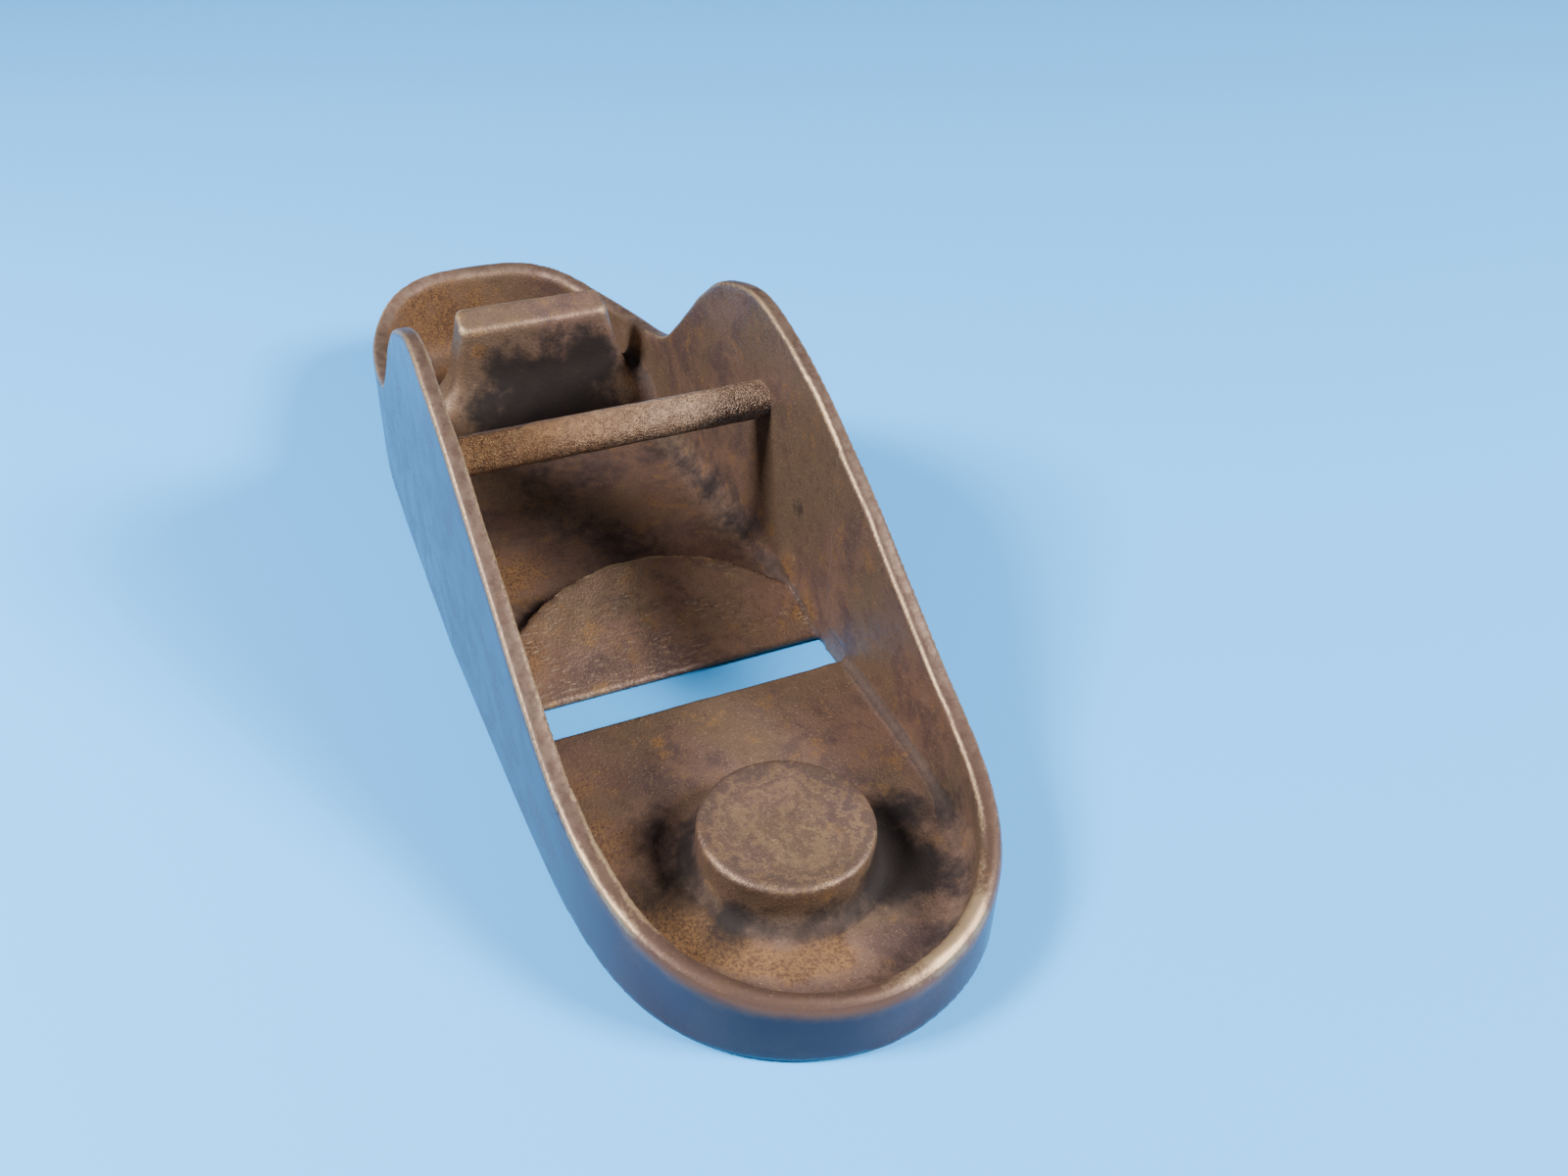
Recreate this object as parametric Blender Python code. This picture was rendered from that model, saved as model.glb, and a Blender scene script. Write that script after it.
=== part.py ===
"""Low-angle block plane, stripped to its body: an iron casting and the cross pin through its cheeks.

Frame: +X to the toe, +Z up, +Y to the left-hand cheek. The origin is on the sole, below the middle.
The sole lies on z = 0. All driving dimensions are in millimetres and are scaled to metres by MM.
"""

import math

import bmesh
import bpy
import numpy as np
from mathutils import Vector

MM = 0.001

# Overall casting
LENGTH = 140.0
WIDTH = 44.4
WALL = 2.3
CHEEK_DRAFT = 0.01
FLOOR = 3.2
RIM_ROUND = 0.5
SOLE_CHAMFER = 0.25
FLOOR_FILLET = 2.8

# Plan outline: each end is a power curve in u = distance from the middle / half the length
TOE_POWER = 7.0
TOE_ROOT = 0.565
HEEL_POWER = 6.0
HEEL_ROOT = 0.37
HEEL_TAPER = 0.10

# Side profile of the rim, from the heel to the toe: (x, height). The hump is a little higher on the
# right-hand cheek (-Y) than on the left-hand one.
RIM_PROFILE = (
    (-70.0, 17.2),
    (-57.0, 14.8),
    (-43.0, 15.9),
    (-38.0, 16.9),
    (-34.8, 18.3),
    (-31.5, 21.1),
    (-27.5, 25.1),
    (-22.5, 30.2),
    (-15.5, 35.2),
    (-6.0, 37.8),
    (2.0, 36.0),
    (9.0, 33.2),
    (16.5, 29.2),
    (24.0, 25.0),
    (32.0, 20.0),
    (43.0, 14.0),
    (56.0, 10.2),
    (70.0, 7.4),
)
HUMP_SKEW = 0.8
HUMP_X = -3.0
HUMP_REACH = 14.0

# Mouth and bed
MOUTH_REAR = 14.8
MOUTH_FRONT = 22.6
MOUTH_HALF_WIDTH = 18.9
BED_ANGLE = math.radians(20.0)
BED_LIP = 0.8
BED_APEX = -1.2
BED_ARC_RADIUS = 23.6
BED_HALF_WIDTH = 20.4
CORE_SHIFT = 1.0
BED_STEP = 0.4

# Rear rest for the cutter
REST_FRONT = -40.6
REST_DEPTH = 4.4
REST_HALF_WIDTH = 10.5
REST_CORNER = 1.2
REST_SHIFT = 1.95
REST_WEB = 8.8
REST_FILLET = 5.6
REST_DRAFT = 0.2

# Finger boss
BOSS_X = 47.9
BOSS_RADIUS = 9.0
BOSS_TOP = 8.2
BOSS_FILLET = 2.0

# Cross pin
PIN_X = -3.0
PIN_Z = 24.9
PIN_RADIUS = 2.35
PIN_BORE_GAP = 0.3
PIN_END_GAP = 0.15

# Facets
OUTLINE_POINTS = 112
FILLET_STEPS = 4
BOSS_POINTS = 40
PIN_POINTS = 32


def half_width(x):
    """Half the plan width of the casting at x, both ends closing to a point on the centre line."""
    u = min(abs(x) / (LENGTH / 2), 1.0)
    if x >= 0:
        return WIDTH / 2 * (1 - u**TOE_POWER) ** TOE_ROOT
    return WIDTH / 2 * (1 - HEEL_TAPER * u) * (1 - u**HEEL_POWER) ** HEEL_ROOT


def outline():
    """Points and outward normals of the closed plan outline, evenly spaced along its length."""
    angles = np.linspace(0, 2 * math.pi, 4001)
    x = LENGTH / 2 * np.cos(angles)
    y = np.sign(np.sin(angles)) * np.array([half_width(v) for v in x])
    travelled = np.concatenate(([0.0], np.cumsum(np.hypot(np.diff(x), np.diff(y)))))
    stops = np.linspace(0, travelled[-1], OUTLINE_POINTS, endpoint=False)
    points = np.stack([np.interp(stops, travelled, x), np.interp(stops, travelled, y)], axis=1)
    along = np.roll(points, -1, axis=0) - np.roll(points, 1, axis=0)
    normals = np.stack([along[:, 1], -along[:, 0]], axis=1)
    return points, normals / np.linalg.norm(normals, axis=1, keepdims=True)


def rim_height(x, y):
    """Height of the rim at (x, y): cubic pieces through the profile, plus the skew of the hump."""
    knots, heights = np.array(RIM_PROFILE).T
    steps = np.diff(knots)
    slopes = np.diff(heights) / steps
    tangents = np.concatenate(([slopes[0]], np.zeros(len(knots) - 2), [slopes[-1]]))
    for i in range(1, len(knots) - 1):
        if slopes[i - 1] * slopes[i] > 0:
            tangents[i] = 2 / (1 / slopes[i - 1] + 1 / slopes[i])
    i = int(np.clip(np.searchsorted(knots, x) - 1, 0, len(steps) - 1))
    t = (x - knots[i]) / steps[i]
    skew = -HUMP_SKEW * y / (WIDTH / 2) * math.exp(-(((x - HUMP_X) / HUMP_REACH) ** 2))
    return (
        skew
        + heights[i] * (1 + 2 * t) * (1 - t) ** 2
        + steps[i] * tangents[i] * t * (1 - t) ** 2
        + heights[i + 1] * t * t * (3 - 2 * t)
        + steps[i] * tangents[i + 1] * t * t * (t - 1)
    )


def bed_height(x):
    """Height of the inclined bed plane at x, which rises from the mouth to the heel."""
    return BED_LIP + (MOUTH_REAR - x) * math.tan(BED_ANGLE)


def principled(name, colour, roughness, metallic):
    """A material with one Principled shader."""
    material = bpy.data.materials.new(name)
    material.use_nodes = True
    shader = material.node_tree.nodes["Principled BSDF"]
    shader.inputs["Base Color"].default_value = (*colour, 1.0)
    shader.inputs["Roughness"].default_value = roughness
    shader.inputs["Metallic"].default_value = metallic
    return material


def add_object(name, mesh_data, material=None, smooth_below=math.radians(35)):
    """Wrap a bmesh, given in millimetres, as an object in metres."""
    mesh = bpy.data.meshes.new(name)
    bmesh.ops.scale(mesh_data, vec=(MM, MM, MM), verts=mesh_data.verts)
    bmesh.ops.recalc_face_normals(mesh_data, faces=mesh_data.faces)
    mesh_data.to_mesh(mesh)
    mesh_data.free()
    mesh.shade_smooth()
    mesh.set_sharp_from_angle(angle=smooth_below)
    piece = bpy.data.objects.new(name, mesh)
    bpy.context.collection.objects.link(piece)
    if material:
        mesh.materials.append(material)
    return piece


def loft(rings):
    """A closed solid through rings with equal point counts, capped at both ends."""
    solid = bmesh.new()
    rows = [[solid.verts.new(point) for point in ring] for ring in rings]
    count = len(rows[0])
    for low, high in zip(rows, rows[1:]):
        for i in range(count):
            j = (i + 1) % count
            solid.faces.new((low[i], low[j], high[j], high[i]))
    solid.faces.new(reversed(rows[0]))
    solid.faces.new(rows[-1])
    return solid


def prism(corners, low, high):
    """A closed solid from plan corners; low and high give the end heights at a plan point."""
    return loft([[(x, y, level(x, y)) for x, y in corners] for level in (low, high)])


def casting_shell():
    """Sole, cheeks and rims as one tray: rings from under the sole, over the rim, to the floor."""
    points, normals = outline()

    def ring(inset, height, draft=0.0):
        levels = np.array([height(x, y) for x, y in points])
        flat = points - normals * (inset + draft * levels)[:, None]
        return [(x, y, z) for (x, y), z in zip(flat, levels)]

    quarter = math.sqrt(0.5)
    soft = RIM_ROUND * (1 - quarter)
    rings = [
        ring(SOLE_CHAMFER, lambda x, y: 0.0),
        ring(0.0, lambda x, y: SOLE_CHAMFER, CHEEK_DRAFT),
        ring(0.0, lambda x, y: rim_height(x, y) - RIM_ROUND, CHEEK_DRAFT),
        ring(soft, lambda x, y: rim_height(x, y) - soft, CHEEK_DRAFT),
        ring(RIM_ROUND, rim_height, CHEEK_DRAFT),
        ring(WALL - RIM_ROUND, rim_height),
        ring(WALL - soft, lambda x, y: rim_height(x, y) - soft),
        ring(WALL, lambda x, y: rim_height(x, y) - RIM_ROUND),
    ]
    for step in range(FILLET_STEPS + 1):
        angle = math.pi / 2 * step / FILLET_STEPS
        inset = WALL + FLOOR_FILLET * (1 - math.cos(angle))
        level = FLOOR + FLOOR_FILLET * (1 - math.sin(angle))
        rings.append(ring(inset, lambda x, y, z=level: z))
    return loft(rings)


def boss_solid():
    """Round finger boss with a fillet at its root and a softened top edge."""
    profile = [(BOSS_RADIUS + BOSS_FILLET, FLOOR - 1.0), (BOSS_RADIUS + BOSS_FILLET, FLOOR)]
    for step in range(1, FILLET_STEPS + 1):
        angle = math.pi / 2 * step / FILLET_STEPS
        radius = BOSS_RADIUS + BOSS_FILLET * (1 - math.sin(angle))
        profile.append((radius, FLOOR + BOSS_FILLET * (1 - math.cos(angle))))
    profile += [(BOSS_RADIUS, BOSS_TOP - 0.5), (BOSS_RADIUS - 0.5, BOSS_TOP)]
    turns = [2 * math.pi * i / BOSS_POINTS for i in range(BOSS_POINTS)]
    return loft([[(BOSS_X + r * math.cos(a), r * math.sin(a), z) for a in turns] for r, z in profile])


def bed_solid():
    """Half-moon bed: an arc behind, a straight front in the mouth, a top on the bed plane."""
    centre = BED_APEX + BED_ARC_RADIUS
    front = MOUTH_REAR + 0.8
    corners = [(front, BED_HALF_WIDTH), (front, -BED_HALF_WIDTH)]
    reach = BED_HALF_WIDTH - CORE_SHIFT
    for y in np.linspace(-reach, reach, 25):
        corners.append((centre - math.sqrt(BED_ARC_RADIUS**2 - y * y), y + CORE_SHIFT))
    return prism(corners, lambda x, y: 0.4, lambda x, y: bed_height(x))


def rest_solid():
    """Rear rest: a drafted block on a low web between the cheeks, its top on the bed plane."""
    web_top = bed_height(REST_FRONT)

    def ring(grow_x, grow_y, height):
        front = REST_FRONT + grow_x
        rear = REST_FRONT - REST_DEPTH - grow_x
        side = REST_HALF_WIDTH + grow_y
        flat = []
        for x, y, start in ((front, side, 0), (rear, side, 90), (rear, -side, 180), (front, -side, 270)):
            cx = x - math.copysign(REST_CORNER, x - (front + rear) / 2)
            cy = y - math.copysign(REST_CORNER, y)
            for step in range(4):
                angle = math.radians(start + 30 * step)
                reach = REST_CORNER * math.cos(angle), REST_CORNER * math.sin(angle)
                flat.append((cx + reach[0], cy + reach[1] + REST_SHIFT))
        return [(x, y, height(x)) for x, y in flat]

    rings = [ring(2.2, REST_FILLET + 2.6, lambda x: FLOOR - 1.0)]
    rings.append(ring(1.4, REST_FILLET + 2.6, lambda x: REST_WEB - 0.4))
    for step in range(FILLET_STEPS + 1):
        angle = math.pi / 2 * step / FILLET_STEPS
        level = REST_WEB + REST_FILLET * (1 - math.cos(angle))
        flare = REST_FILLET * (1 - math.sin(angle)) + REST_DRAFT * (web_top - level)
        rings.append(ring(0.05 * (web_top - level) + 0.1 * flare, flare, lambda x, z=level: z))
    rings.append(ring(0.0, 0.0, bed_height))
    return loft(rings)


def pin_solid(radius, half_length):
    """A round bar across the plane on the cross pin's axis."""
    turns = [2 * math.pi * i / PIN_POINTS for i in range(PIN_POINTS)]
    return loft([
        [(PIN_X + radius * math.cos(a), y, PIN_Z + radius * math.sin(a)) for a in turns]
        for y in (-half_length, half_length)
    ])


def box_solid(low, high):
    """A plain box between two corners."""
    corners = [(low[0], low[1]), (high[0], low[1]), (high[0], high[1]), (low[0], high[1])]
    return prism(corners, lambda x, y: low[2], lambda x, y: high[2])


def wedge_solid():
    """Clears the floor ahead of the bed plane's way down into the mouth."""
    rear = MOUTH_REAR - (FLOOR + BED_STEP - BED_LIP) / math.tan(BED_ANGLE)
    front = MOUTH_REAR + 0.8
    left = CORE_SHIFT + MOUTH_HALF_WIDTH
    right = CORE_SHIFT - MOUTH_HALF_WIDTH
    corners = [(rear, right), (front, right), (front, left), (rear, left)]
    return prism(corners, lambda x, y: bed_height(x) - BED_STEP, lambda x, y: FLOOR + 6.0)


def helper(name, solid):
    """A body used only in Booleans: drawn as wire and left out of renders."""
    piece = add_object(name, solid)
    piece.display_type = "WIRE"
    piece.hide_render = True
    return piece


def combine(target, tool, operation):
    """Join or cut with an exact Boolean."""
    modifier = target.modifiers.new(tool.name, "BOOLEAN")
    modifier.operation = operation
    modifier.solver = "EXACT"
    modifier.object = tool


def build_casting():
    """The iron casting, with everything cast on or cut through it."""
    iron = principled("cast_iron", (0.16, 0.11, 0.08), 0.5, 0.7)
    body = add_object("body_casting", casting_shell(), iron)
    combine(body, helper("cut_bed_way", wedge_solid()), "DIFFERENCE")
    combine(body, helper("add_bed", bed_solid()), "UNION")
    combine(body, helper("add_rest", rest_solid()), "UNION")
    combine(body, helper("add_boss", boss_solid()), "UNION")
    low = (MOUTH_REAR, CORE_SHIFT - MOUTH_HALF_WIDTH, -2.0)
    high = (MOUTH_FRONT, CORE_SHIFT + MOUTH_HALF_WIDTH, FLOOR + 7.0)
    combine(body, helper("cut_mouth", box_solid(low, high)), "DIFFERENCE")
    bore = pin_solid(PIN_RADIUS + PIN_BORE_GAP, WIDTH / 2 + 3.0)
    combine(body, helper("cut_pin_bore", bore), "DIFFERENCE")
    return body


def build_pin():
    """The cross pin, its mesh along Y around its own origin, placed on its axis."""
    steel = principled("pin_steel", (0.30, 0.20, 0.12), 0.38, 0.85)
    reach = half_width(PIN_X) - CHEEK_DRAFT * (PIN_Z + PIN_RADIUS) - PIN_END_GAP
    solid = pin_solid(PIN_RADIUS, reach)
    centre = Vector((PIN_X, 0.0, PIN_Z))
    bmesh.ops.translate(solid, vec=-centre, verts=solid.verts)
    pin = add_object("cross_pin", solid, steel)
    pin.location = centre * MM
    return pin


def main():
    for old in list(bpy.data.objects):
        bpy.data.objects.remove(old, do_unlink=True)
    build_casting()
    build_pin()


main()
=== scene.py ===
"""Looks of the stripped block plane: a rusty brown iron casting, ground outside, with its cross pin.

The casting is worked out as a signed distance field in millimetres (negative inside the iron), so that
its walls, boss, bed and rest flow into each other with true fillets, as in a casting. The field is
turned into a mesh, its points are settled on the exact surface, and what the field knows about each
point (ground or cast, edge or hollow) is stored on the mesh for the material.
"""

import math
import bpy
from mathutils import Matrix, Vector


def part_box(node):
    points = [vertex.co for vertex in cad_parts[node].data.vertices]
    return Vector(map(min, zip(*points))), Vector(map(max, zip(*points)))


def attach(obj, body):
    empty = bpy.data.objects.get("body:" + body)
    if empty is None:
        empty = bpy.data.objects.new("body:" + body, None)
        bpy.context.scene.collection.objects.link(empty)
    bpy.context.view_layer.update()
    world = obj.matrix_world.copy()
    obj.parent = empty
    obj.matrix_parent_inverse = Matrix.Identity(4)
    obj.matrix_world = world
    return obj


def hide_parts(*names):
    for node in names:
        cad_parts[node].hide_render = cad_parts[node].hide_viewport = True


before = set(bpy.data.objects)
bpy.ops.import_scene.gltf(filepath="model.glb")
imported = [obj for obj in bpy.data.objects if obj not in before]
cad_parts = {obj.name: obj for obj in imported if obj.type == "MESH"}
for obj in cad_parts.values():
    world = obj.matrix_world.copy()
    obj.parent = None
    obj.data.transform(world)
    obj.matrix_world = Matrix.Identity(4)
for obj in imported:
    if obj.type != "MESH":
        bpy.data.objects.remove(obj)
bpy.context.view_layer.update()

from types import SimpleNamespace

import bpy
import numpy as np
import openvdb
from mathutils import Matrix, Vector

MM = 0.001

# Sizes read from the frame, in millimetres
casting_low, casting_high = (np.array(corner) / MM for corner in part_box("body_casting"))
pin_low, pin_high = (np.array(corner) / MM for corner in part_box("cross_pin"))
LENGTH = casting_high[0] - casting_low[0]
WIDTH = casting_high[1] - casting_low[1]
PIN_RADIUS = (pin_high[2] - pin_low[2]) / 2
PIN_X = (pin_low[0] + pin_high[0]) / 2
PIN_Z = (pin_low[2] + pin_high[2]) / 2

# Plan outline: each end is a power curve in u = distance from the middle / half the length
TOE_POWER, TOE_ROOT = 7.0, 0.565
HEEL_POWER, HEEL_ROOT, HEEL_TAPER = 6.0, 0.37, 0.10

# Side profile of the rim, from the heel to the toe: (x, height). The hump is a little higher on the
# right-hand cheek (-Y) than on the left-hand one.
RIM_PROFILE = (
    (-70.0, 17.2),
    (-57.0, 14.8),
    (-43.0, 15.9),
    (-38.0, 16.9),
    (-34.8, 18.3),
    (-31.5, 21.1),
    (-27.5, 25.1),
    (-22.5, 30.2),
    (-15.5, 35.2),
    (-6.0, 37.8),
    (2.0, 36.0),
    (9.0, 33.2),
    (16.5, 29.2),
    (24.0, 25.0),
    (32.0, 20.0),
    (43.0, 14.0),
    (56.0, 10.2),
    (70.0, 7.4),
)
HUMP_SKEW, HUMP_X, HUMP_REACH = 0.8, -3.0, 14.0

# Walls and floor
WALL = 2.3
CHEEK_DRAFT = 0.01
CORE_DRAFT = 0.012
FLOOR = 3.2
SIDE_FILLET, END_FILLET = 0.9, 3.8
RIM_ROUND = 0.48
END_ROUND = 1.2
SOLE_ROUND = 0.6
INSET = 0.5

# Mouth, bed and rear rest
CORE_SHIFT = 1.0
MOUTH_REAR, MOUTH_FRONT, MOUTH_HALF_WIDTH = 14.8, 22.6, 18.9
MOUTH_CEILING = FLOOR + 1.0
MOUTH_ROUND = 0.3
BED_SLOPE = math.radians(20.0)
BED_LIP = 0.8
BED_APEX, BED_RADIUS = -1.35, 23.7
PAD_RISE, PAD_ROUND = 0.3, 0.3
REST_FRONT, REST_DEPTH, REST_HALF_WIDTH, REST_SHIFT = -40.6, 4.4, 10.5, 1.95
REST_TOP = 21.5
REST_MIDDLE = REST_FRONT - REST_DEPTH / 2
REST_DRAFT, REST_DEPTH_DRAFT = 0.2, 0.06
REST_CORNER, REST_TOP_ROUND, REST_FILLET = 1.3, 0.7, 6.0
WEB_HALF_DEPTH, WEB_TOP, WEB_ROUND, WEB_FILLET = 3.6, 8.6, 2.5, 2.4

# Finger boss
BOSS_X, BOSS_RADIUS, BOSS_TOP = 47.9, 9.0, 8.2
BOSS_DISH, BOSS_DRAFT = 0.28, 0.05
BOSS_ROUND, BOSS_FILLET = 0.65, 2.0

# Painted shade round the foot of the boss, and the crescent of rust between it and the toe
FOOT_SHADE, FOOT_REACH = 0.62, 1.8
CRESCENT_RUST, CRESCENT_RADIUS, CRESCENT_REACH = 1.1, 13.2, 2.4

# Unevenness of the cast surface: (depth, length of the waves, seed)
CAST_WAVES = ((0.06, 14.0, 1), (0.025, 4.0, 2))

# Mesh, and the reaches over which edges and hollows are felt
VOXEL = 0.52
PLAN_STEP = 0.25
EDGE_REACH, NOOK_REACH = 0.55, 2.2

# Pin's mesh
PIN_ROUND, PIN_RINGS, PIN_CHAMFER = 96, 120, 0.25

# Camera, in metres, with its turn about its own axis in degrees
CAMERA_PLACE = Vector((0.13239, -0.04357, 0.10935))
CAMERA_TOWARD = Vector((-0.71276, 0.35468, -0.60512))
CAMERA_LENS, CAMERA_SENSOR, CAMERA_ROLL = 31.8, 36.0, 2.71

# Lamps: (name, azimuth from +X towards +Y, elevation, distance and size in metres, watts, colour)
LAMPS = (
    ("right_lamp", 50, 37, 0.9, 0.26, 23.0, (1.0, 0.97, 0.93)),
    ("left_lamp", -92, 45, 0.45, 0.13, 5.6, (1.0, 0.98, 0.96)),
)
LAMP_TARGET = Vector((0, 0, 0.012))
SKY_COLOUR, SKY_STRENGTH = (0.76, 0.88, 1.0, 1), 0.24

# Blue ground, in metres, just below the sole
FLOOR_HALF_SIZE, FLOOR_DROP = 3.0, 0.00005
FLOOR_COLOUR, FLOOR_ROUGHNESS = (0.040, 0.41, 1.0, 1), 0.7


# ---------------------------------------------------------------- the casting's shape


def half_width(x):
    """Half the plan width at x."""
    u = np.clip(np.abs(x) / (LENGTH / 2), 0.0, 1.0)
    toe = (1 - u**TOE_POWER) ** TOE_ROOT
    heel = (1 - HEEL_TAPER * u) * (1 - u**HEEL_POWER) ** HEEL_ROOT
    return WIDTH / 2 * np.where(x >= 0, toe, heel)


def rim_height(x):
    """Height of the rim at x: cubic pieces through the profile, with no overshoot."""
    knots, heights = np.array(RIM_PROFILE).T
    steps = np.diff(knots)
    slopes = np.diff(heights) / steps
    before, after = slopes[:-1], slopes[1:]
    level = before * after <= 0
    inner = np.where(level, 0.0, 2 * before * after / np.where(level, 1.0, before + after))
    tangents = np.concatenate(([slopes[0]], inner, [slopes[-1]]))
    i = np.clip(np.searchsorted(knots, x) - 1, 0, len(steps) - 1)
    t = np.clip((x - knots[i]) / steps[i], 0.0, 1.0)
    rise = heights[i] * (1 + 2 * t) * (1 - t) ** 2 + heights[i + 1] * t * t * (3 - 2 * t)
    return rise + steps[i] * (tangents[i] * t * (1 - t) ** 2 + tangents[i + 1] * t * t * (t - 1))


class Lookup:
    """Smooth reading of a curve or a plan grid, sampled once at even steps."""

    def __init__(self, start, step, values):
        self.start, self.step, self.values = start, step, values

    def along(self, x):
        """Value of a curve at x."""
        place = (x - self.start[0]) / self.step
        i = np.clip(place.astype(int), 0, len(self.values) - 2)
        t = np.clip(place - i, 0.0, 1.0)
        return self.values[i] * (1 - t) + self.values[i + 1] * t

    def over(self, x, y):
        """Value of a plan grid at (x, y)."""
        across, up = (x - self.start[0]) / self.step, (y - self.start[1]) / self.step
        i = np.clip(across.astype(int), 0, self.values.shape[0] - 2)
        j = np.clip(up.astype(int), 0, self.values.shape[1] - 2)
        s, t = across - i, up - j
        v = self.values
        low = v[i, j] * (1 - s) + v[i + 1, j] * s
        high = v[i, j + 1] * (1 - s) + v[i + 1, j + 1] * s
        return low * (1 - t) + high * t


def smoothed(values, reach):
    """A curve's values, softened by a bell of that many samples."""
    bell = np.exp(-0.5 * (np.arange(-3 * reach, 3 * reach + 1) / reach) ** 2)
    padded = np.pad(values, 3 * reach, mode="edge")
    return np.convolve(padded, bell / bell.sum(), mode="valid")


def plan_distance():
    """Signed distance to the plan outline, on an even grid, negative inside."""
    angles = np.linspace(0, 2 * math.pi, 12001)
    x = LENGTH / 2 * np.cos(angles)
    y = np.sign(np.sin(angles)) * half_width(x)
    travelled = np.concatenate(([0.0], np.cumsum(np.hypot(np.diff(x), np.diff(y)))))
    stops = np.linspace(0, travelled[-1], 900, endpoint=False)
    px, py = np.interp(stops, travelled, x), np.interp(stops, travelled, y)
    ex, ey = np.roll(px, -1) - px, np.roll(py, -1) - py
    grid_x = np.arange(-LENGTH / 2 - 4, LENGTH / 2 + 4, PLAN_STEP)
    grid_y = np.arange(-WIDTH / 2 - 4, WIDTH / 2 + 4, PLAN_STEP)
    values = np.empty((len(grid_x), len(grid_y)))
    for row, gx in enumerate(grid_x):
        dx, dy = gx - px[None, :], grid_y[:, None] - py[None, :]
        t = np.clip((dx * ex + dy * ey) / (ex * ex + ey * ey), 0.0, 1.0)
        away = np.hypot(dx - t * ex, dy - t * ey)
        nearest = away.argmin(axis=1)
        column = np.arange(len(grid_y))
        side = ex[nearest] * dy[column, nearest] - ey[nearest] * dx[0, nearest]
        values[row] = -np.sign(side) * away[column, nearest]
    return Lookup((grid_x[0], grid_y[0]), PLAN_STEP, values)


def round_both(a, b, radius):
    """Where both fields hold, with the edge between them rounded."""
    over = np.hypot(np.maximum(a + radius, 0.0), np.maximum(b + radius, 0.0))
    return np.minimum(np.maximum(a, b), -radius) + over


def round_either(a, b, radius):
    """Where either field holds, with a fillet in the corner between them."""
    return -round_both(-a, -b, radius)


def waves(x, y, z, length, count, seed):
    """Even, smooth unevenness between about -1 and 1: plane waves in random directions."""
    draw = np.random.default_rng(seed)
    total = 0.0
    for _ in range(count):
        way = draw.normal(size=3)
        way *= 2 * math.pi / (length * draw.uniform(0.7, 1.4)) / np.linalg.norm(way)
        total = total + np.sin(x * way[0] + y * way[1] + z * way[2] + draw.uniform(0, 2 * math.pi))
    return total / math.sqrt(count)


def ramp(value, low, high):
    """0 below low, 1 above high, smooth between."""
    t = np.clip((value - low) / (high - low), 0.0, 1.0)
    return t * t * (3 - 2 * t)


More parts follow.
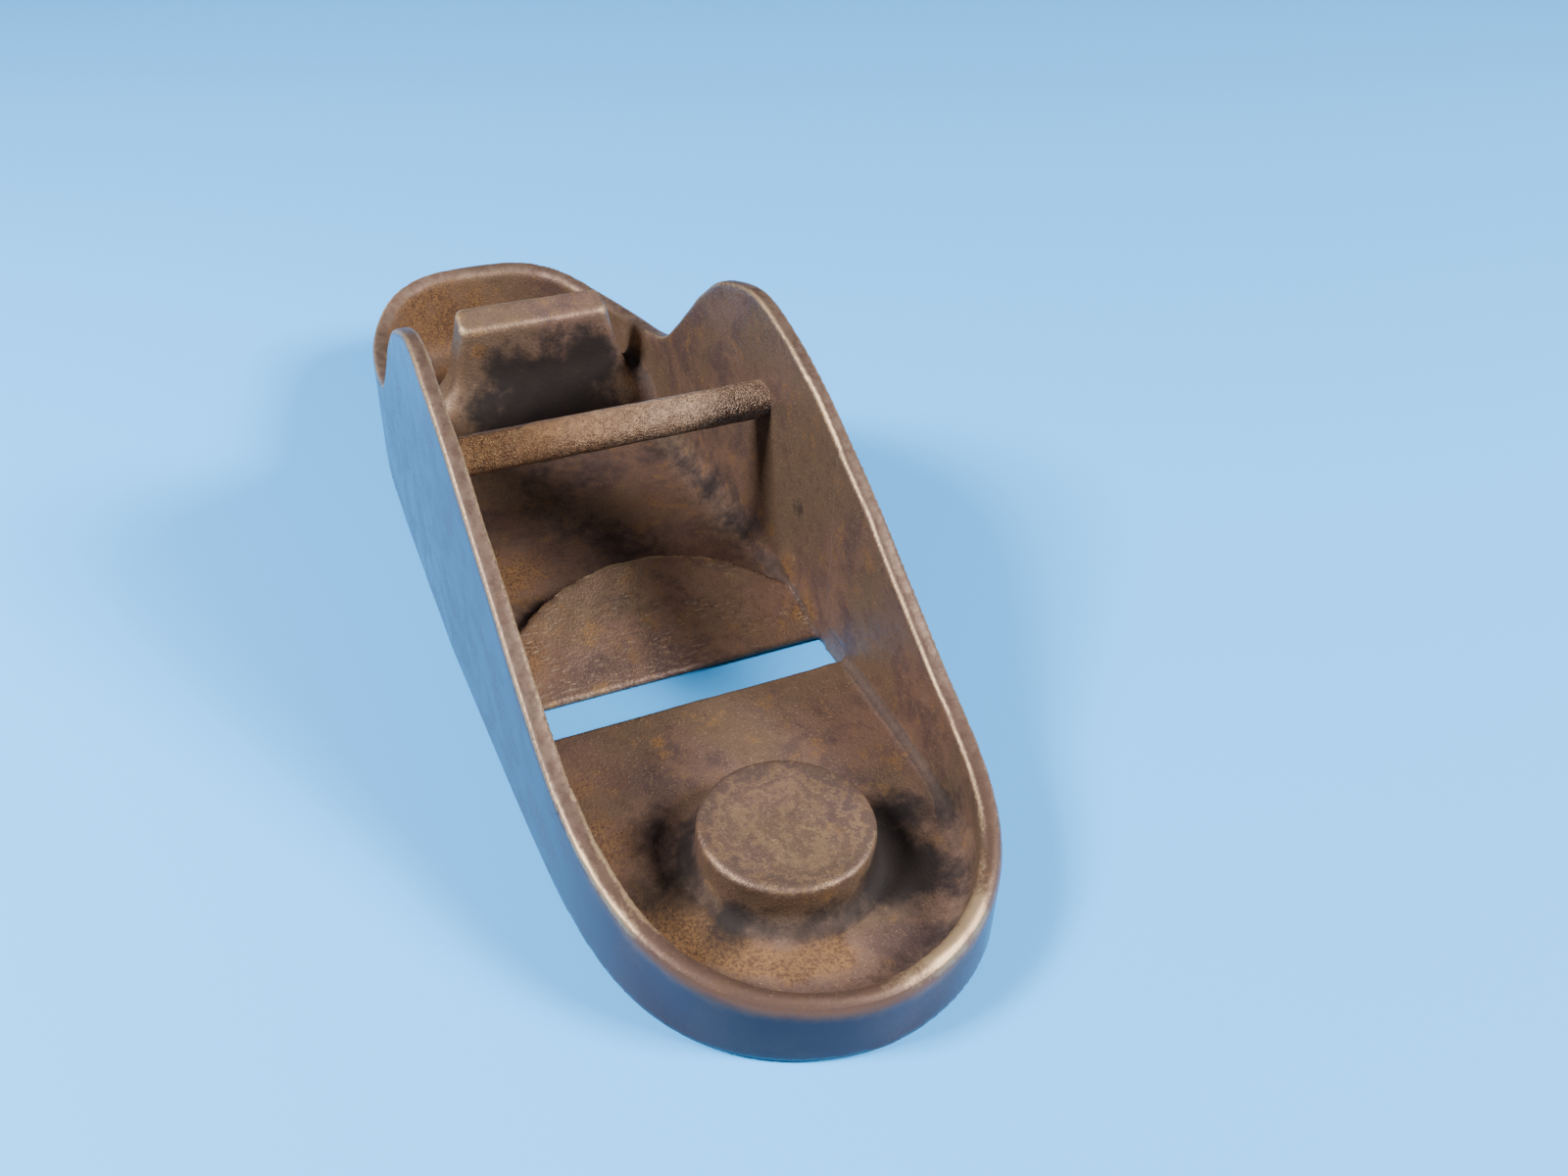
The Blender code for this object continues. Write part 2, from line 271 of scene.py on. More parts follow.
class Casting:
    """The whole casting as one signed distance field."""

    def __init__(self):
        self.plan = plan_distance()
        xs = np.arange(-LENGTH / 2 - 6, LENGTH / 2 + 6, PLAN_STEP)
        heights = smoothed(rim_height(xs), 2)
        self.rim = Lookup((xs[0],), PLAN_STEP, heights)
        self.lean = Lookup((xs[0],), PLAN_STEP, np.cos(np.arctan(np.gradient(heights, PLAN_STEP))))

    def outer_wall(self, x, y, z):
        """Distance outside the drafted outer wall."""
        return self.plan.over(x, y) + CHEEK_DRAFT * z

    def over_rim(self, x, y, z):
        """Distance above the rim."""
        skew = -HUMP_SKEW * y / (WIDTH / 2) * np.exp(-(((x - HUMP_X) / HUMP_REACH) ** 2))
        return (z - self.rim.along(x) - skew) * self.lean.along(x)

    def above_bed(self, x, z):
        """Distance above the inclined bed plane."""
        plane = BED_LIP + (MOUTH_REAR - x) * math.tan(BED_SLOPE)
        return (z - plane) * math.cos(BED_SLOPE)

    def bed_outline(self, x, y):
        """Distances outside the bed's pad and outside its milled face."""
        moon = np.hypot(x - BED_APEX - BED_RADIUS, y - CORE_SHIFT) - BED_RADIUS
        moon = np.maximum(moon, x - MOUTH_REAR - 2.0)
        return moon, np.maximum(moon, np.abs(y - CORE_SHIFT) - MOUTH_HALF_WIDTH)

    def tray(self, x, y, z):
        """Sole, cheeks and rims; the rim's inner edge is softer round the two ends."""
        rim = self.over_rim(x, y, z)
        wall = self.plan.over(x, y) + WALL + CORE_DRAFT * np.maximum(-rim, 0.0)
        side = ramp(x, -3.0, 7.0) * ramp(-x, -58.0, -44.0)
        hollow = round_both(wall, FLOOR - z, END_FILLET + (SIDE_FILLET - END_FILLET) * side)
        outer = round_both(self.outer_wall(x, y, z), -z, SOLE_ROUND)
        toe, ends = ramp(x, 46.0, 66.0), ramp(np.abs(x - 4), 44.0, 62.0)
        outer = round_both(outer, rim, RIM_ROUND + (END_ROUND - RIM_ROUND) * toe)
        return round_both(outer, -hollow, RIM_ROUND + (END_ROUND - RIM_ROUND) * ends)

    def rest(self, x, y, z):
        """Rear rest: a drafted block with soft corners, topped by the bed plane."""
        drop = np.maximum(REST_TOP - z, 0.0)
        deep = np.abs(x - REST_MIDDLE) - REST_DEPTH / 2 - REST_DEPTH_DRAFT * drop
        wide = np.abs(y - REST_SHIFT) - REST_HALF_WIDTH - REST_DRAFT * drop
        block = round_both(deep, wide, REST_CORNER)
        return round_both(block, self.above_bed(x, z), REST_TOP_ROUND)

    def web(self, x, y, z):
        """Low thick web across the tray, from which the rest rises."""
        web = round_both(np.abs(x - REST_MIDDLE) - WEB_HALF_DEPTH, z - WEB_TOP, WEB_ROUND)
        return np.maximum(web, self.plan.over(x, y) + INSET)

    def boss(self, x, y, z):
        """Finger boss with a dished top."""
        radial = np.hypot(x - BOSS_X, y)
        top = BOSS_TOP - BOSS_DISH * np.clip(1 - (radial / BOSS_RADIUS) ** 2, 0.0, 1.0)
        side = radial - BOSS_RADIUS + BOSS_DRAFT * (z - BOSS_TOP)
        return round_both(side, z - top, BOSS_ROUND)

    def with_bed(self, body, x, y, z):
        """The body with the half-moon pad added and its face milled flat along the bed plane."""
        above = self.above_bed(x, z)
        moon, way = self.bed_outline(x, y)
        pad = np.maximum(np.maximum(moon, self.plan.over(x, y) + INSET), above - PAD_RISE)
        body = round_either(body, pad, PAD_ROUND)
        return round_both(body, -np.maximum(way, -above), PAD_ROUND)

    def mouth(self, x, y, z):
        """The slot through the sole."""
        slot = np.maximum(np.abs(y - CORE_SHIFT) - MOUTH_HALF_WIDTH, MOUTH_REAR - x)
        slot = np.maximum(slot, x - MOUTH_FRONT)
        return np.maximum(slot, z - MOUTH_CEILING)

    def __call__(self, x, y, z):
        body = self.tray(x, y, z)
        body = round_either(body, self.web(x, y, z), WEB_FILLET)
        body = round_either(body, self.rest(x, y, z), REST_FILLET)
        body = self.with_bed(body, x, y, z)
        body = round_either(body, self.boss(x, y, z), BOSS_FILLET)
        cast = ramp(-self.plan.over(x, y), 1.2, 2.4) * ramp(z, 1.5, 2.5)
        uneven = sum(depth * waves(x, y, z, length, 9, seed) for depth, length, seed in CAST_WAVES)
        body = body + cast * uneven
        body = round_both(body, -self.mouth(x, y, z), MOUTH_ROUND)
        return np.maximum(body, np.maximum(self.outer_wall(x, y, z), -z))


def slope_of(field, points, step):
    """The field's gradient at each point, by central differences."""
    x, y, z = points.T
    return np.stack(
        [
            field(x + step, y, z) - field(x - step, y, z),
            field(x, y + step, z) - field(x, y - step, z),
            field(x, y, z + step) - field(x, y, z - step),
        ],
        axis=1,
    ) / (2 * step)


def curvature(field, points, reach):
    """How sharply the surface bends at each point: above 0 on edges, below 0 in hollows."""
    steps = [step * axis for axis in np.eye(3) for step in (-reach, reach)]
    around = sum(field(*(points + step).T) for step in steps)
    return (around - 6 * field(*points.T)) / reach**2


def surface_mesh(field, low, high, voxel):
    """Points and quads of the field's zero surface, the points settled on it exactly."""
    pad = 3 * voxel
    axes = [np.arange(low[k] - pad, high[k] + pad, voxel) for k in range(3)]
    x, y, z = np.meshgrid(*axes, indexing="ij", sparse=True)
    values = np.broadcast_to(field(*np.broadcast_arrays(x, y, z)), [len(a) for a in axes])
    grid = openvdb.FloatGrid(3 * voxel)
    grid.copyFromArray(np.clip(values, -pad, pad).astype(np.float32))
    grid.gridClass = openvdb.GridClass.LEVEL_SET
    points, quads = grid.convertToQuads(isovalue=0.0)
    points = points * voxel + np.array([a[0] for a in axes])
    for _ in range(3):
        slope = slope_of(field, points, 0.02)
        length2 = np.maximum((slope**2).sum(axis=1, keepdims=True), 0.25)
        move = field(*points.T)[:, None] * slope / length2
        points = points - np.clip(move, -voxel / 2, voxel / 2)
    return points, quads


def mesh_object(name, points, faces):
    """A smooth object from points in millimetres."""
    mesh = bpy.data.meshes.new(name)
    mesh.from_pydata((points * MM).tolist(), [], faces)
    mesh.validate()
    mesh.shade_smooth()
    piece = bpy.data.objects.new(name, mesh)
    bpy.context.scene.collection.objects.link(piece)
    return piece


def store(piece, name, values):
    """A number for each point of the mesh, for the material to read."""
    attribute = piece.data.attributes.new(name, "FLOAT", "POINT")
    attribute.data.foreach_set("value", np.asarray(values, np.float32))


# ---------------------------------------------------------------- materials


class Graph:
    """Short calls for building a material's nodes. Lengths are in millimetres."""

    def __init__(self, name):
        self.material = bpy.data.materials.new(name)
        self.material.use_nodes = True
        self.tree = self.material.node_tree
        self.shader = self.tree.nodes["Principled BSDF"]
        place = self.tree.nodes.new("ShaderNodeTexCoord").outputs["Object"]
        scale = self.node("ShaderNodeVectorMath", operation="SCALE")
        self.tree.links.new(place, scale.inputs[0])
        scale.inputs["Scale"].default_value = 1 / MM
        self.place = scale.outputs[0]

    def node(self, kind, **settings):
        """A new node with some of its settings given."""
        node = self.tree.nodes.new(kind)
        for key, value in settings.items():
            setattr(node, key, value)
        return node

    def feed(self, socket, value):
        """A link or a plain value into a socket."""
        if isinstance(value, bpy.types.NodeSocket):
            self.tree.links.new(value, socket)
        elif isinstance(value, tuple):
            socket.default_value = (*value, 1.0) if len(socket.default_value) == 4 else value
        else:
            socket.default_value = value

    def attribute(self, name):
        """A number stored on the mesh."""
        return self.node("ShaderNodeAttribute", attribute_name=name).outputs["Fac"]

    def math(self, operation, a, b=0.0):
        """One sum, product or the like of two values."""
        node = self.node("ShaderNodeMath", operation=operation)
        self.feed(node.inputs[0], a)
        self.feed(node.inputs[1], b)
        return node.outputs[0]

    def noise(self, size, detail=3.0, stretch=(1, 1, 1), shift=0.0, rough=0.55, bend=0.0):
        """Smooth noise between about 0.3 and 0.7, its largest lumps that many millimetres across."""
        mapping = self.node("ShaderNodeMapping")
        self.feed(mapping.inputs["Vector"], self.place)
        mapping.inputs["Scale"].default_value = [1 / (size * s) for s in stretch]
        mapping.inputs["Location"].default_value = (shift, shift * 1.7, shift * 0.6)
        node = self.node("ShaderNodeTexNoise")
        self.feed(node.inputs["Vector"], mapping.outputs[0])
        node.inputs["Scale"].default_value = 1.0
        node.inputs["Detail"].default_value = detail
        node.inputs["Roughness"].default_value = rough
        node.inputs["Distortion"].default_value = bend
        return node.outputs["Fac"]

    def ramp(self, value, low, high, start=0.0, end=1.0):
        """start where the value is below low, end above high, smooth between."""
        node = self.node("ShaderNodeMapRange", interpolation_type="SMOOTHSTEP")
        self.feed(node.inputs["Value"], value)
        node.inputs["From Min"].default_value = low
        node.inputs["From Max"].default_value = high
        node.inputs["To Min"].default_value = start
        node.inputs["To Max"].default_value = end
        return node.outputs[0]

    def mix(self, amount, a, b):
        """A colour or, with plain numbers, a value between a and b."""
        colour = isinstance(a, tuple) or getattr(a, "type", "") == "RGBA"
        node = self.node("ShaderNodeMix", data_type="RGBA" if colour else "FLOAT")
        wanted = "RGBA" if colour else "VALUE"
        sockets = [socket for socket in node.inputs if socket.type == wanted and socket.name in "AB"]
        self.feed(node.inputs["Factor"], amount)
        self.feed(sockets[0], a)
        self.feed(sockets[1], b)
        return next(socket for socket in node.outputs if socket.type == wanted)

    def sum(self, *terms):
        """Sum of (value, weight) pairs."""
        total = 0.0
        for value, weight in terms:
            total = self.math("ADD", self.math("MULTIPLY", value, weight), total)
        return total

    def bump(self, height, depth):
        """Bumps of that height signal, a unit of it standing that many millimetres high."""
        node = self.node("ShaderNodeBump")
        self.feed(node.inputs["Height"], height)
        node.inputs["Distance"].default_value = depth * MM
        node.inputs["Strength"].default_value = 1.0
        self.tree.links.new(node.outputs[0], self.shader.inputs["Normal"])


def iron_noises(g):
    """The noises that every layer of the iron shares, from the widest to the finest."""
    return SimpleNamespace(
        wide=g.noise(15, 3, shift=3.0),
        cloud=g.noise(5.0, 5, shift=9.0, bend=0.3),
        gold=g.noise(3.4, 6, shift=12.0, rough=0.75),
        blotch=g.noise(1.3, 5, shift=5.0, rough=0.65),
        grain=g.noise(0.34, 3, shift=2.0),
        fine=g.noise(0.15, 2, shift=7.0),
    )


def cast_surface(g, n):
    """Colour of the unground iron, and how dirty or shaded it is: mottled brown under rust, grime and
    soot, with painted shade in creases and hollows and painted shadows among the soot.
    """
    brown = g.mix(g.ramp(n.cloud, 0.40, 0.62), (0.176, 0.106, 0.078), (0.112, 0.071, 0.064))
    brown = g.mix(g.ramp(n.wide, 0.46, 0.62), brown, (0.150, 0.098, 0.066))
    brown = g.mix(g.ramp(n.blotch, 0.48, 0.70, 0.0, 0.42), brown, (0.050, 0.031, 0.029))
    brown = g.mix(g.ramp(n.blotch, 0.46, 0.30, 0.0, 0.4), brown, (0.225, 0.138, 0.095))
    brown = g.mix(g.ramp(n.grain, 0.50, 0.68, 0.0, 0.5), brown, (0.052, 0.031, 0.028))
    brown = g.mix(g.ramp(n.gold, 0.54, 0.68, 0.0, 0.75), brown, (0.225, 0.125, 0.055))

    rust_level = g.sum((g.attribute("rust"), 1.0), (n.cloud, 1.2), (n.blotch, 0.5), (n.wide, 0.3))
    rust = g.ramp(rust_level, 1.12, 1.80)
    rust_tone = g.sum((n.grain, 0.55), (n.blotch, 0.30), (n.fine, 0.30))
    rust_colour = g.mix(g.ramp(rust_tone, 0.47, 0.68), (0.046, 0.021, 0.010), (0.158, 0.081, 0.031))
    colour = g.mix(g.math("MULTIPLY", rust, 0.85), brown, rust_colour)

    nook = g.attribute("nook")
    # Creases darkened: grime and painted shade
    crease = g.ramp(g.attribute("bend"), -0.30, -0.60)
    colour = g.mix(g.math("MULTIPLY", crease, 0.6), colour, (0.026, 0.019, 0.020))
    # Hollows darkened: grime and painted shade
    hollow = g.ramp(g.sum((nook, 1.0), (n.cloud, 0.2)), 0.14, 0.42)
    colour = g.mix(g.math("MULTIPLY", hollow, 0.45), colour, (0.040, 0.026, 0.022))
    # Soot, and painted shadows and shade: darker where the soot patches lie
    soot_and_shade_level = g.sum((g.attribute("soot_and_shade"), 1.0), (n.cloud, 1.0), (n.blotch, 0.7), (nook, 0.3))
    soot_and_shade = g.ramp(soot_and_shade_level, 0.92, 1.95)
    colour = g.mix(g.math("MULTIPLY", soot_and_shade, 0.95), colour, (0.009, 0.007, 0.0075))

    # Rust, soot, grime and the painted shade and shadows together, for the metal and the roughness
    dirt_and_shade = g.math("MAXIMUM", g.math("MAXIMUM", rust, soot_and_shade), g.math("MAXIMUM", crease, hollow))
    pale = g.ramp(g.sum((n.grain, 0.6), (n.fine, 0.6), (dirt_and_shade, -0.15)), 0.65, 0.78, 0.0, 0.6)
    return g.mix(pale, colour, (0.33, 0.225, 0.135)), dirt_and_shade


def boss_marks(g, n, colour):
    """A darker border round the top of the boss, and faint turning marks: dark ones, and golden ones
    painted as glints.
    """
    radial, boss_top = g.attribute("radial"), g.attribute("boss_top")
    border = g.ramp(g.sum((radial, 1.0), (n.cloud, 6.0)), 8.2, 10.6)
    border = g.math("MULTIPLY", border, boss_top)
    colour = g.mix(g.math("MULTIPLY", border, 0.5), colour, (0.070, 0.047, 0.042))
    swirl = g.sum((radial, 2.1), (n.cloud, 26.0), (n.blotch, 12.0), (n.grain, 5.0))
    turns = g.math("SINE", swirl)
    marks = g.math("MULTIPLY", g.ramp(turns, 0.0, 1.0), boss_top)
    colour = g.mix(g.math("MULTIPLY", marks, 0.32), colour, (0.070, 0.044, 0.036))
    glints = g.math("MULTIPLY", g.ramp(turns, -0.4, -1.0), boss_top)
    return g.mix(g.math("MULTIPLY", glints, 0.32), colour, (0.25, 0.155, 0.078))


def bed_scratches(g, n, colour):
    """Pale scratches on the milled bed, along the mouth."""
    drag = g.ramp(g.noise(0.28, 4, stretch=(1.0, 5.0, 1.0), shift=15.0), 0.54, 0.68)
    where = g.math("MULTIPLY", g.ramp(n.cloud, 0.42, 0.58), g.attribute("milled"))
    drag = g.math("MULTIPLY", drag, where)
    return g.mix(g.math("MULTIPLY", drag, 0.5), colour, (0.32, 0.24, 0.17))


def ground_skin(g, n, skirt):
    """Colour of the ground outside: a dark patina, browner in a band under the rim of the toe."""
    skin = g.mix(g.ramp(n.cloud, 0.35, 0.70), (0.040, 0.018, 0.020), (0.050, 0.024, 0.023))
    band = g.ramp(g.sum((skirt, 1.0), (n.cloud, 0.8), (n.blotch, 0.4)), 0.85, 1.55)
    return g.mix(band, skin, (0.105, 0.050, 0.028))


def cast_iron_material():
    """Brown rusty iron inside with painted shade and shadows, a dark smooth patina outside, worn edges
    and painted highlights on the rim.
    """
    g = Graph("cast_iron")
    n = iron_noises(g)
    outside, skirt = g.attribute("outside"), g.attribute("skirt")
    rim = g.math("MULTIPLY", g.attribute("on_rim"), 0.8)

    inside, dirt_and_shade = cast_surface(g, n)
    inside = boss_marks(g, n, inside)
    inside = bed_scratches(g, n, inside)
    colour = g.mix(outside, inside, ground_skin(g, n, skirt))
    rim_tone = g.mix(g.ramp(n.blotch, 0.36, 0.64), (0.125, 0.084, 0.064), (0.075, 0.046, 0.037))
    rim_tone = g.mix(skirt, rim_tone, (0.072, 0.042, 0.032))
    colour = g.mix(rim, colour, rim_tone)

    # Bare metal on the edges and on the polished stretches of the rim, its pale colour there also a
    # painted highlight, broken up by the noise
    wear_and_highlight_level = g.sum((g.attribute("polish_and_highlight"), 0.9), (g.attribute("edge"), 0.5))
    wear_and_highlight_level = g.sum((wear_and_highlight_level, 1.0), (n.blotch, 0.8), (n.grain, 0.6), (n.cloud, 0.6))
    wear_and_highlight = g.ramp(wear_and_highlight_level, 1.50, 2.20)
    colour = g.mix(g.math("MULTIPLY", wear_and_highlight, 0.7), colour, (0.38, 0.265, 0.155))
    g.feed(g.shader.inputs["Base Color"], colour)

    metal = g.mix(wear_and_highlight, g.mix(outside, 0.65, 0.12), 0.7)
    clean_and_unshaded = g.math("SUBTRACT", 1.0, g.math("MULTIPLY", dirt_and_shade, 0.9))
    g.feed(g.shader.inputs["Metallic"], g.math("MULTIPLY", metal, clean_and_unshaded))
    rough_inside = g.ramp(g.sum((n.grain, 0.5), (n.blotch, 0.5)), 0.3, 0.7, 0.42, 0.60)
    rough_inside = g.mix(dirt_and_shade, rough_inside, 0.76)
    rough_outside = g.ramp(n.cloud, 0.35, 0.65, 0.20, 0.28)
    rough = g.mix(rim, g.mix(outside, rough_inside, rough_outside), 0.50)
    g.feed(g.shader.inputs["Roughness"], rough)
    g.shader.inputs["IOR"].default_value = 1.28

    cast_height = g.sum((n.grain, 0.8), (n.fine, 0.35), (n.blotch, 0.45))
    scratches = g.noise(0.4, 3, stretch=(9.0, 1.0, 0.3), shift=4.0)
    ground_height = g.sum((scratches, 0.10), (n.fine, 0.05), (n.blotch, 0.05))
    g.bump(g.mix(g.math("MAXIMUM", outside, rim), cast_height, ground_height), 0.085)
    return g.material


def pin_material():
    """Grainy bar: golden brown at its right-hand end (-Y), greyer towards the other."""
    g = Graph("pin_steel")
    cloud, blotch = g.noise(4, 4, shift=1.0), g.noise(0.9, 4, shift=6.0)
    grain, fine = g.noise(0.24, 3, shift=8.0), g.noise(0.12, 2, shift=3.0)
    golden = g.mix(g.ramp(blotch, 0.38, 0.62), (0.132, 0.064, 0.031), (0.215, 0.112, 0.052))
    greyer = g.mix(g.ramp(blotch, 0.38, 0.62), (0.190, 0.122, 0.090), (0.300, 0.202, 0.140))
    change = g.ramp(g.sum((g.attribute("along"), 1.0), (cloud, 0.6)), 0.45, 1.15)
    colour = g.mix(change, golden, greyer)
    colour = g.mix(g.ramp(grain, 0.48, 0.66, 0.0, 0.8), colour, (0.070, 0.042, 0.030))
    colour = g.mix(g.ramp(fine, 0.56, 0.70, 0.0, 0.8), colour, (0.46, 0.31, 0.16))
    g.feed(g.shader.inputs["Base Color"], colour)
    g.shader.inputs["Metallic"].default_value = 0.85
    g.feed(g.shader.inputs["Roughness"], g.ramp(blotch, 0.35, 0.65, 0.42, 0.52))
    g.bump(g.sum((grain, 0.8), (fine, 0.6), (blotch, 0.3)), 0.34)
    return g.material


# Where the casting is rusty, sooty or polished, and where shadows, shade and highlights are painted
# on: (x, y, z, reach, strength), in millimetres
RUST = (
    (-66, -8, 9, 14, 0.8),
    (-60, 6, 6, 9, 0.5),
    (60, -2, 3, 5, 0.6),
    (53, -14, 4, 6, 0.9),
    (40, -17, 5, 6, 0.7),
    (30, -17, 4, 6, 0.5),
    (57, 9, 7, 4, 0.4),
    (12, 19.5, 3, 2.5, 1.0),
    (6, 19.5, 5, 2.5, 0.9),
    (-8, -14, 4, 8, 0.8),
    (-17, 10, 4, 9, 0.4),
    (27.6, -6, 3.2, 0.7, 1.5),
    (-40.4, -6.5, 17.8, 0.9, 1.5),
    (9, -16, 3, 5, 0.8),
    (52, 8, 6, 3, 0.7),
)
# Soot, with painted shadows beside the boss, on the floor behind the bed and on the cheek by the rest,
# and painted shade in the fillets near the toe and behind the bed
SOOT_AND_SHADE = (
    (41, -10, 3, 6.0, 0.8),
    (48, -12.5, 3, 5.5, 0.9),
    (53, 9.5, 3, 6.5, 1.7),
    (47, 13.0, 4, 5.0, 1.1),
    (57, 0, 5, 3.0, 0.8),
    (55, 5, 5, 3.0, 0.8),
    (54, -9, 4, 4.0, 0.9),
    (-40, 3, 9, 9, 1.6),
    (-39.5, 9, 14, 6, 1.3),
    (-40, -2.5, 14, 5, 1.2),
    (-39.5, 4, 17, 4, 1.0),
    (-14, 0, 4, 8, 0.5),
    (-7, 4, 4, 7, 0.6),
    (0, -12, 4, 4, 0.8),
    (8, 19.4, 15.5, 2.5, 0.8),
    (5, 4, 5, 5, 0.4),
    (-28, 19, 21, 3, 0.4),
    (-30, 0, 5, 9, 0.8),
    (-34, 18.2, 17, 1.8, 0.35),
    (-36, 18.2, 12, 1.8, 0.35),
    (50, 17, 5.5, 5, 0.75),
    (58, 12, 6, 4, 0.6),
    (65, 2, 5, 4.5, 0.6),
    (62, -10, 5, 3.5, 0.5),
    (64, 8, 5, 4, 0.6),
    (46, 12.5, 3, 4, 0.8),
    (6, -2, 4, 6, 0.55),
    (-28, 16.5, 5, 5, 0.75),
    (-22, 17.0, 5, 5, 0.8),
    (-16, 17.0, 5, 5, 0.8),
    (-10, 17.3, 5, 5, 0.75),
    (-4, 17.6, 5, 5, 0.65),
    (-40, -6, 9, 6, 1.1),
    (-40, -2, 17, 4, 0.7),
    (-40, 9, 18.5, 3.5, 0.9),
    (-40, 3, 19, 3.5, 0.5),
    (60, -3, 4, 6, 0.4),
    (-38, 0, 6, 8, 1.7),
    (-37, 8, 6, 7, 1.4),
)
# Polished stretches of the rim, also painted lighter as highlights
POLISH_AND_HIGHLIGHT = (
    (66.5, 6.5, 7.8, 3.5, 1.0),
    (64.5, 10.5, 8.0, 3.0, 0.9),
    (68.0, 2.0, 7.5, 2.5, 0.5),
    (48.0, -20.5, 11.5, 4.0, 0.4),
    (54.0, -19.0, 10.0, 3.0, 0.6),
)


def patches(places, points):
    """How strongly each point lies in the named patches, which melt into each other."""
    total = np.zeros(len(points))
    for x, y, z, reach, strength in places:
        away = np.linalg.norm(points - np.array([x, y, z]), axis=1)
        total = np.maximum(total, strength * np.exp(-((away / reach) ** 2)))
    return total


def finish_piece(piece, material, node):
    """Give a piece its material, hang it on the root body, and hide the part that it stands in for."""
    piece.data.materials.append(material)
    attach(piece, "root")
    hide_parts(node)


def store_surface(piece, casting, points):
    """Which face each point is on, and how sharply the surface bends there."""
    x, y, z = points.T
    outline, rim = casting.outer_wall(x, y, z), casting.over_rim(x, y, z)
    on_rim = ramp(rim, -0.7, -0.2) * ramp(outline, -WALL - 0.4, -WALL + 0.3)
    bend = curvature(casting, points, EDGE_REACH)
    away_from_boss = ramp(np.hypot(x - BOSS_X, y), BOSS_RADIUS, BOSS_RADIUS + 3.0)
    edge = np.maximum(bend, 0.0) * ramp(z, 3.5, 6.0) * (0.45 + 0.55 * away_from_boss)
    store(piece, "outside", np.maximum(ramp(outline, -0.7, -0.15), ramp(-z, -0.3, 0.0)))
    store(piece, "on_rim", on_rim)
    store(piece, "bend", bend)
    store(piece, "edge", edge)
    store(piece, "nook", -curvature(casting, points, NOOK_REACH))
    store(piece, "skirt", ramp(rim, -3.2, -0.3) * ramp(x, 36.0, 60.0))
    store(piece, "polish_and_highlight", patches(POLISH_AND_HIGHLIGHT, points) * ramp(rim, -1.6, -0.4))


def store_places(piece, casting, points):
    """The bed, the top of the boss, where rust lies, and where soot and painted shadows and shade lie.
    """
    x, y, z = points.T
    off_bed = np.abs(casting.above_bed(x, z))
    milled = ramp(-casting.bed_outline(x, y)[1], 0.0, 0.5) * ramp(0.5 - off_bed, 0.0, 0.3)
    radial = np.hypot(x - BOSS_X, y)
    boss_top = ramp(BOSS_RADIUS + 0.3 - radial, 0.0, 0.6) * ramp(z, BOSS_TOP - 1.5, BOSS_TOP - 0.7)
    crescent = np.exp(-(((radial - CRESCENT_RADIUS) / CRESCENT_REACH) ** 2))
    crescent = crescent * ramp(x - 0.7 * y, 54.0, 62.0) * ramp(4.0 - y, 0.0, 5.0)
    # Painted shade in a ring round the foot of the boss
    foot = np.exp(-(((radial - BOSS_RADIUS - 1.0) / FOOT_REACH) ** 2))
    foot = FOOT_SHADE * foot * ramp(BOSS_TOP - z, 0.5, 2.5)
    store(piece, "milled", milled)
    store(piece, "radial", radial)
    store(piece, "boss_top", boss_top)
    store(piece, "rust", np.maximum(patches(RUST, points), CRESCENT_RUST * crescent))
    store(piece, "soot_and_shade", np.maximum(patches(SOOT_AND_SHADE, points), foot))


def build_casting():
    """The casting's mesh, with what the material needs to know about each point."""
    casting = Casting()
    points, quads = surface_mesh(casting, casting_low, casting_high, VOXEL)
    piece = mesh_object("iron_casting", points, quads[:, ::-1].tolist())
    store_surface(piece, casting, points)
    store_places(piece, casting, points)
    finish_piece(piece, cast_iron_material(), "body_casting")


def pin_points():
    """Rings of points along the bar, very slightly uneven, stepped in at the chamfered ends."""
    reach = pin_high[1]
    inner = np.linspace(-reach + PIN_CHAMFER, reach - PIN_CHAMFER, PIN_RINGS)
    ys = np.concatenate(([-reach], inner, [reach]))
    radii = np.full(len(ys), PIN_RADIUS)
    radii[[0, -1]] -= PIN_CHAMFER
    turn = np.linspace(0, 2 * math.pi, PIN_ROUND, endpoint=False)
    x, z = np.cos(turn), np.sin(turn)
    rings = []
    for y, radius in zip(ys, radii):
        if abs(y) < reach - 2 * PIN_CHAMFER:
            radius = radius + 0.02 * waves(x * radius, y, z * radius, 5.0, 7, 3) - 0.02
        ring = [PIN_X + radius * x, np.full(PIN_ROUND, y), PIN_Z + radius * z]
        rings.append(np.stack(ring, axis=1))
    return np.concatenate(rings)


def build_pin():
    """The cross pin: a bar with softly chamfered ends."""
    points = pin_points()
    rings = len(points) // PIN_ROUND
    i, j = np.meshgrid(np.arange(rings - 1), np.arange(PIN_ROUND), indexing="ij")
    a, b = i * PIN_ROUND + j, i * PIN_ROUND + (j + 1) % PIN_ROUND
    faces = np.stack([a, a + PIN_ROUND, b + PIN_ROUND, b], axis=-1).reshape(-1, 4).tolist()
    faces.append(list(range(PIN_ROUND)))
    faces.append(list(range(len(points) - PIN_ROUND, len(points)))[::-1])
    piece = mesh_object("cross_pin_bar", points, faces)
    piece.data.set_sharp_from_angle(angle=math.radians(50))
    store(piece, "along", (points[:, 1] + pin_high[1]) / (2 * pin_high[1]))
    finish_piece(piece, pin_material(), "cross_pin")


# ---------------------------------------------------------------- floor, light and camera


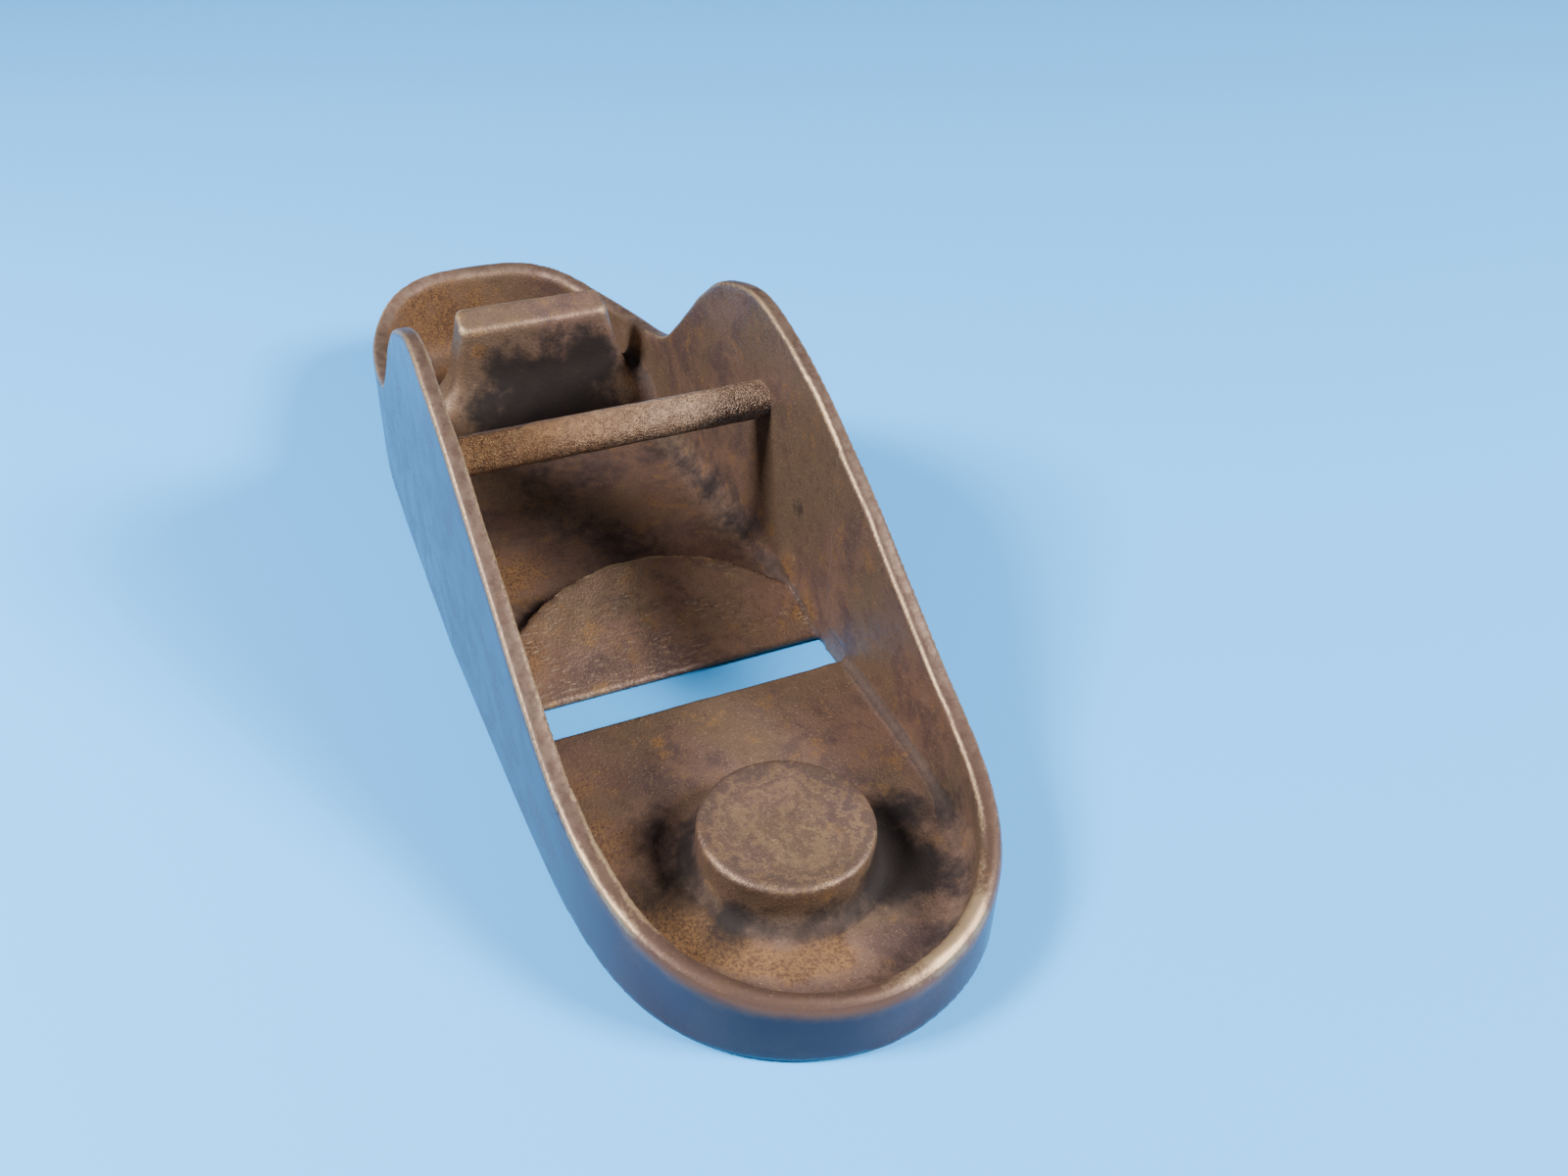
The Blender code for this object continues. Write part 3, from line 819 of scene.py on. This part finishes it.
def add_stage():
    """The blue floor."""
    side = FLOOR_HALF_SIZE
    corners = [(-side, -side), (side, -side), (side, side), (-side, side)]
    mesh = bpy.data.meshes.new("floor")
    mesh.from_pydata([(x, y, -FLOOR_DROP) for x, y in corners], [], [(0, 1, 2, 3)])
    floor = bpy.data.objects.new("floor", mesh)
    bpy.context.scene.collection.objects.link(floor)
    material = bpy.data.materials.new("floor")
    material.use_nodes = True
    shader = material.node_tree.nodes["Principled BSDF"]
    shader.inputs["Base Color"].default_value = FLOOR_COLOUR
    shader.inputs["Roughness"].default_value = FLOOR_ROUGHNESS
    mesh.materials.append(material)


def add_light(name, azimuth, elevation, distance, size, power, colour):
    """A square lamp aimed at the middle of the plane."""
    lamp = bpy.data.lights.new(name, "AREA")
    lamp.size = size
    lamp.energy = power
    lamp.color = colour
    around, up = math.radians(azimuth), math.radians(elevation)
    way = Vector((math.cos(around) * math.cos(up), math.sin(around) * math.cos(up), math.sin(up)))
    light = bpy.data.objects.new(name, lamp)
    light.location = LAMP_TARGET + way * distance
    light.rotation_euler = way.to_track_quat("Z", "Y").to_euler()
    bpy.context.scene.collection.objects.link(light)


def add_sky():
    """Even, slightly blue light from all round."""
    world = bpy.data.worlds.new("studio")
    world.use_nodes = True
    background = world.node_tree.nodes["Background"]
    background.inputs["Color"].default_value = SKY_COLOUR
    background.inputs["Strength"].default_value = SKY_STRENGTH
    bpy.context.scene.world = world


def add_camera():
    """Camera beyond the toe and above the right-hand cheek, with a slight roll."""
    camera = bpy.data.cameras.new("camera")
    camera.sensor_width = CAMERA_SENSOR
    camera.lens = CAMERA_LENS
    camera.clip_start = 0.01
    rig = bpy.data.objects.new("camera", camera)
    aim = CAMERA_TOWARD.to_track_quat("-Z", "Y").to_matrix().to_4x4()
    roll = Matrix.Rotation(math.radians(CAMERA_ROLL), 4, "Z")
    rig.matrix_world = Matrix.Translation(CAMERA_PLACE) @ aim @ roll
    bpy.context.scene.collection.objects.link(rig)
    bpy.context.scene.camera = rig


build_casting()
build_pin()
add_stage()
for settings in LAMPS:
    add_light(*settings)
add_sky()
add_camera()
